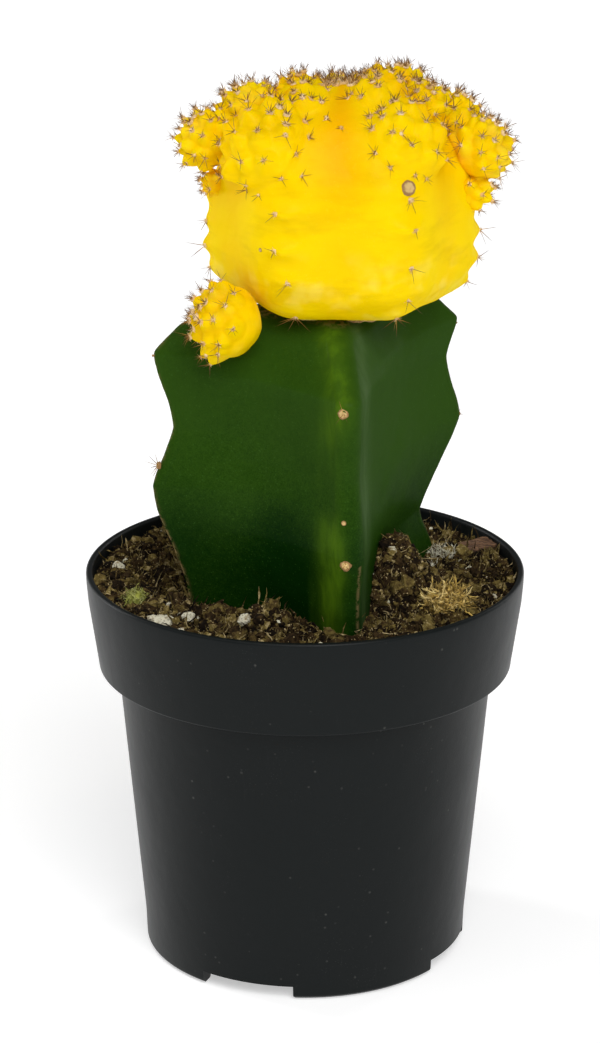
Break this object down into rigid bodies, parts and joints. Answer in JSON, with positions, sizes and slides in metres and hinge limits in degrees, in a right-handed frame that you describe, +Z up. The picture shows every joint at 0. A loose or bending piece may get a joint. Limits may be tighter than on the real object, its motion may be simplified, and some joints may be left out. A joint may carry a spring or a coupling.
{
  "type": "potted moon cactus",
  "caption": "Grafted moon cactus: yellow ribbed globe with offsets on a three-ribbed green rootstock, planted in soil in a small round plastic pot.",
  "frame": {"origin": "centre of the pot's base, on the surface that the feet stand on", "axes": "+Z up along the pot's axis; -Y is the front, where one rib of the rootstock faces; +X is to the right of that view"},
  "size_m": [0.065, 0.065, 0.1352],
  "materials": {
    "black_plastic": "thin moulded polypropylene, satin black with a soft sheen and fine dust",
    "potting_soil": "damp crumbly peat and coir mix, dark brown with olive and tan fibres",
    "green_skin": "waxy dark green cactus skin with fine paler speckles, corky along the rib edges",
    "yellow_flesh": "translucent bright yellow cactus flesh, orange in the furrows, satin",
    "white_mineral": "rough off-white expanded perlite",
    "pale_moss": "dry straw-coloured moss fibres",
    "bark": "weathered brown bark flake"
  },
  "bodies": {
    "root": {"bark_chip": "bark", "moss_lump": "pale_moss", "offset_back_left": "yellow_flesh", "offset_back_middle": "yellow_flesh", "offset_back_right": "yellow_flesh", "offset_crest_left": "yellow_flesh", "offset_crest_middle": "yellow_flesh", "offset_crest_right": "yellow_flesh", "offset_front_left": "yellow_flesh", "offset_front_right": "yellow_flesh", "offset_left_bud": "yellow_flesh", "offset_left_shoulder": "yellow_flesh", "offset_low_left": "yellow_flesh", "offset_right_bud": "yellow_flesh", "offset_right_round": "yellow_flesh", "offset_right_shoulder": "yellow_flesh", "offset_top_left": "yellow_flesh", "offset_top_middle": "yellow_flesh", "perlite_by_stem": "white_mineral", "perlite_front": "white_mineral", "perlite_front_left": "white_mineral", "perlite_left": "white_mineral", "pot": "black_plastic", "rootstock": "green_skin", "scion": "yellow_flesh", "soil": "potting_soil", "sphagnum_clump": "pale_moss"}
  },
  "joints": []
}
